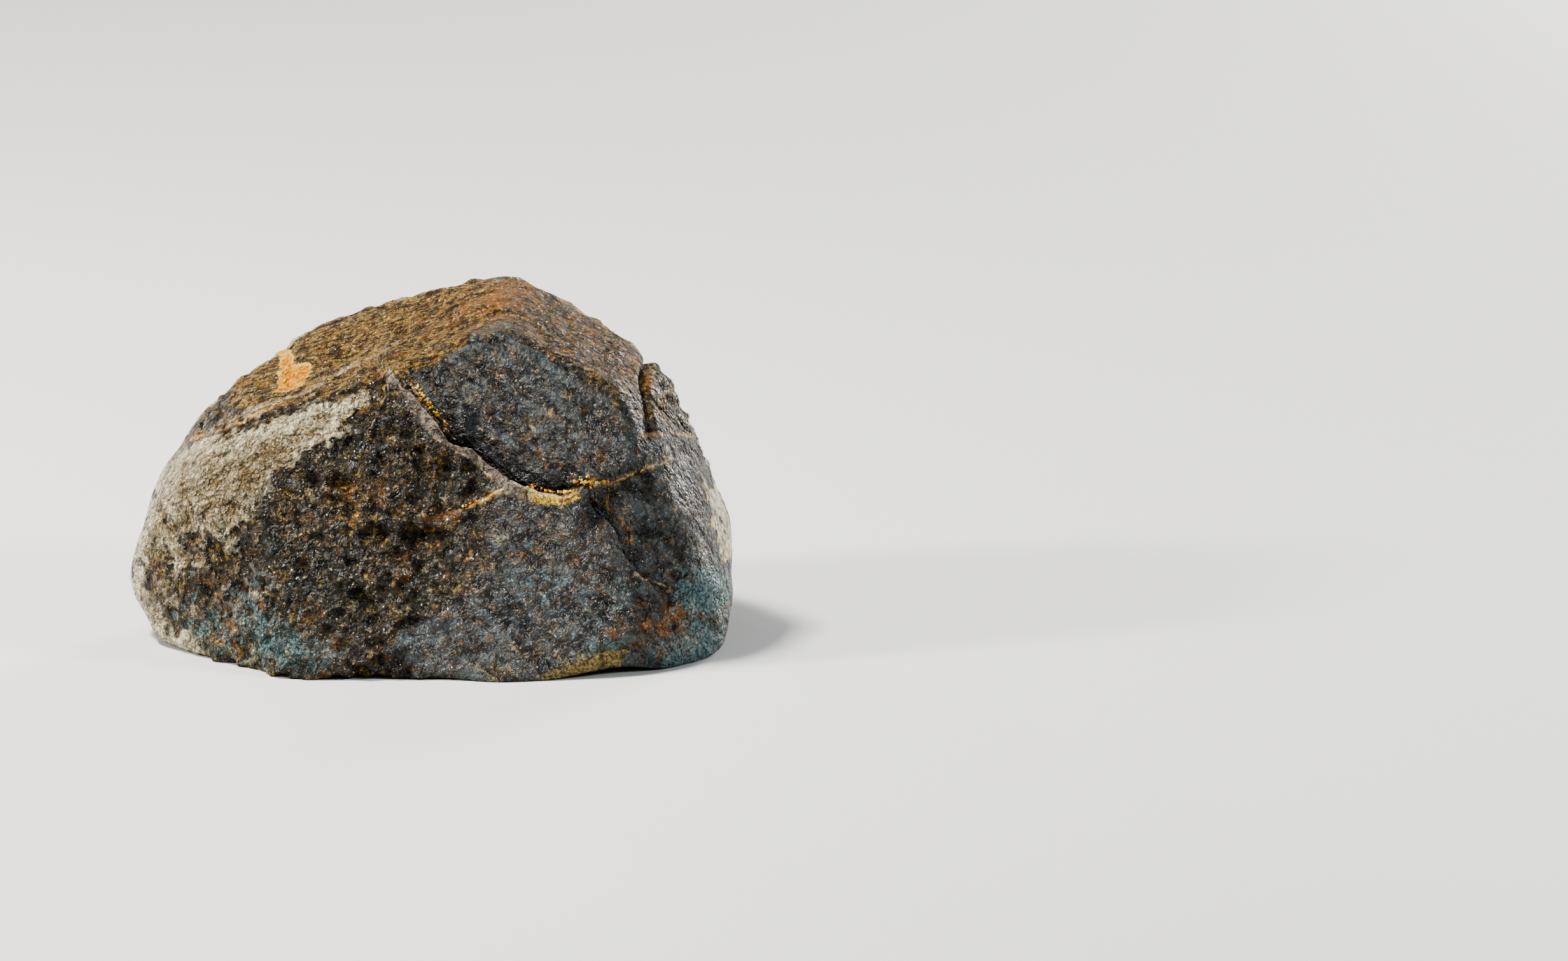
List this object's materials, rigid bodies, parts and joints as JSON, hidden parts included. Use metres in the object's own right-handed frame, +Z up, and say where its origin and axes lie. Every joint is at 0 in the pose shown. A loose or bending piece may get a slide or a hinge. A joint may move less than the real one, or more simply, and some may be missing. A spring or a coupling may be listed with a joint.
{
  "type": "meteorite fragment",
  "caption": "Hand-sized dark brown meteorite fragment with a flat-sloped top, deep branching cracks and a weathered crust, resting on its flat underside.",
  "frame": {"origin": "On the flat rest patch of the underside, near the middle of the stone.", "axes": "+Z up as the stone rests, +X along its longest extent towards the end with the notch, -Y towards the front with the branching crack."},
  "size_m": [0.1497, 0.0895, 0.084],
  "materials": {
    "stone": null
  },
  "bodies": {
    "root": {"meteorite": "stone"}
  },
  "joints": []
}
